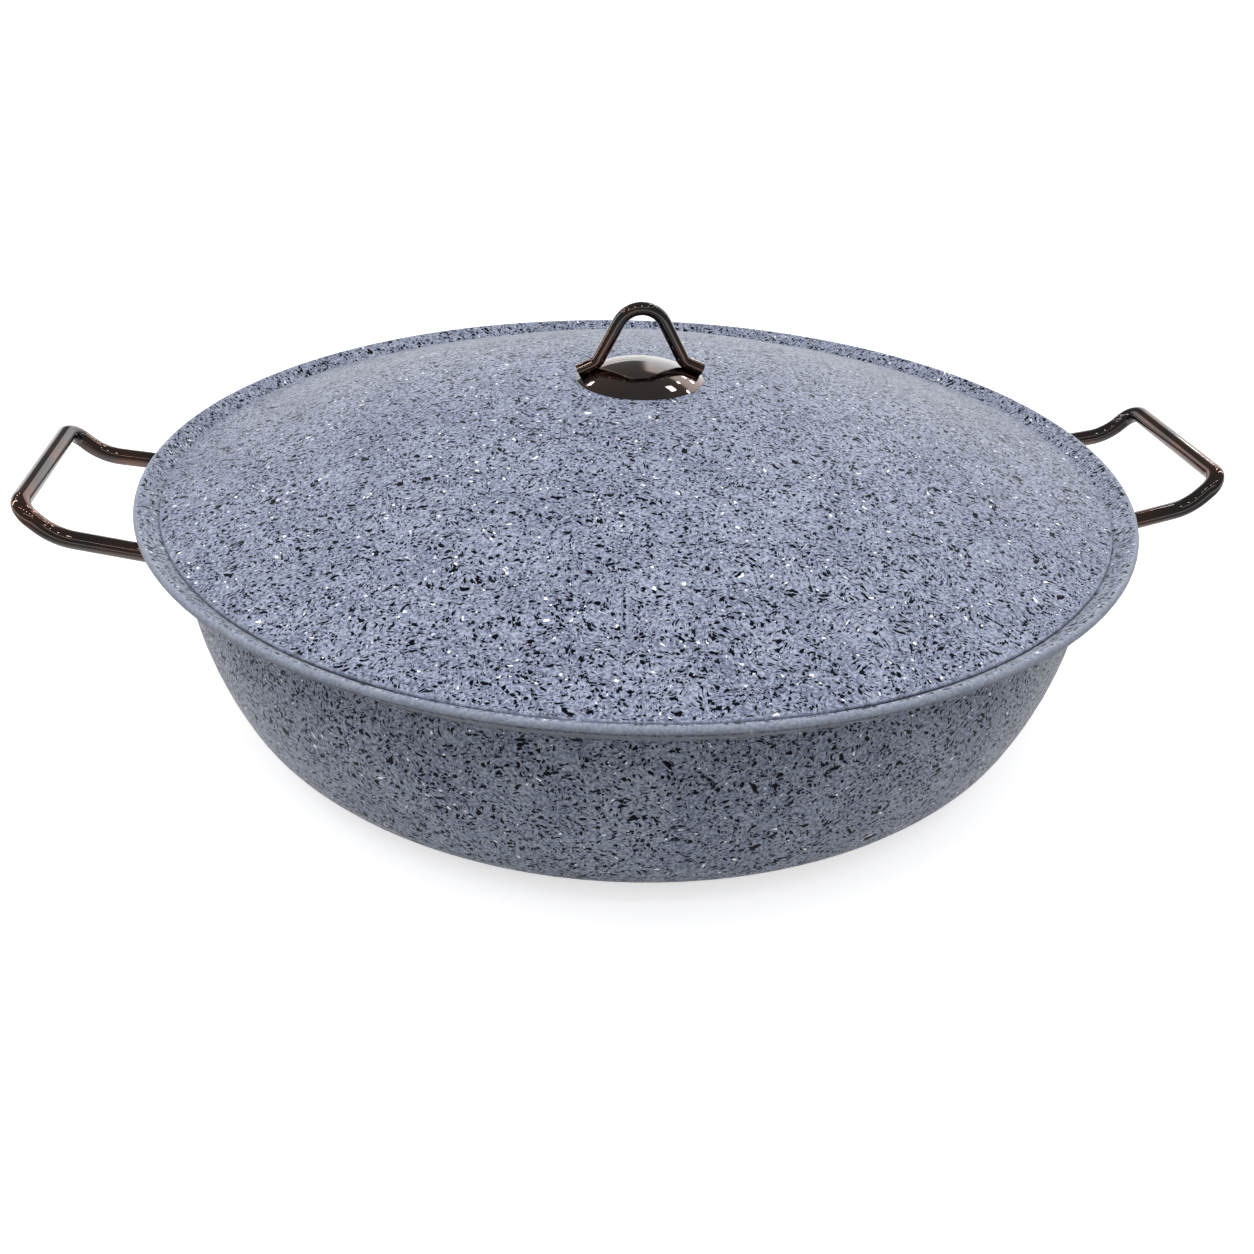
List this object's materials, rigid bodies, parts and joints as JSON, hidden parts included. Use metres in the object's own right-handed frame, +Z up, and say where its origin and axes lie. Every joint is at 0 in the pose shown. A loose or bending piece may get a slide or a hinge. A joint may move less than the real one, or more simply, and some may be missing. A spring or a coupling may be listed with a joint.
{
  "type": "two-handled frying pan with lid",
  "caption": "Wide shallow pan with flared rim, two bent-rod side handles and a domed lift-off lid with an arched lifting loop.",
  "frame": {"origin": "centre of the base, on the surface the pan stands on", "axes": "+Z up, X through the two side handles, Y across them"},
  "size_m": [0.5414, 0.45, 0.1818],
  "materials": {
    "pan_coating": "speckled grey non-stick coating over aluminium",
    "lid_coating": "speckled blue-grey non-stick coating over aluminium",
    "handle_metal": "polished dark bronze plated steel",
    "knob_metal": "polished dark bronze plated steel",
    "rivet_metal": "bare aluminium rivet, domed head",
    "fastener_steel": "plain zinc-bright steel"
  },
  "bodies": {
    "pan": {"pan_shell": "pan_coating", "left_handle_rod": "handle_metal", "right_handle_rod": "handle_metal", "left_handle_plate": "handle_metal", "right_handle_plate": "handle_metal", "left_handle_rivets": "rivet_metal", "right_handle_rivets": "rivet_metal"},
    "lid": {"lid_shell": "lid_coating", "knob_rosette": "knob_metal", "knob_arch": "knob_metal", "knob_boss": "fastener_steel", "knob_washer": "fastener_steel", "knob_screw": "fastener_steel"}
  },
  "joints": [
    {"name": "lid_lift", "type": "slide", "parent": "pan", "child": "lid", "axis": [0, 0, 1], "range_m": [0, 0.15]}
  ]
}
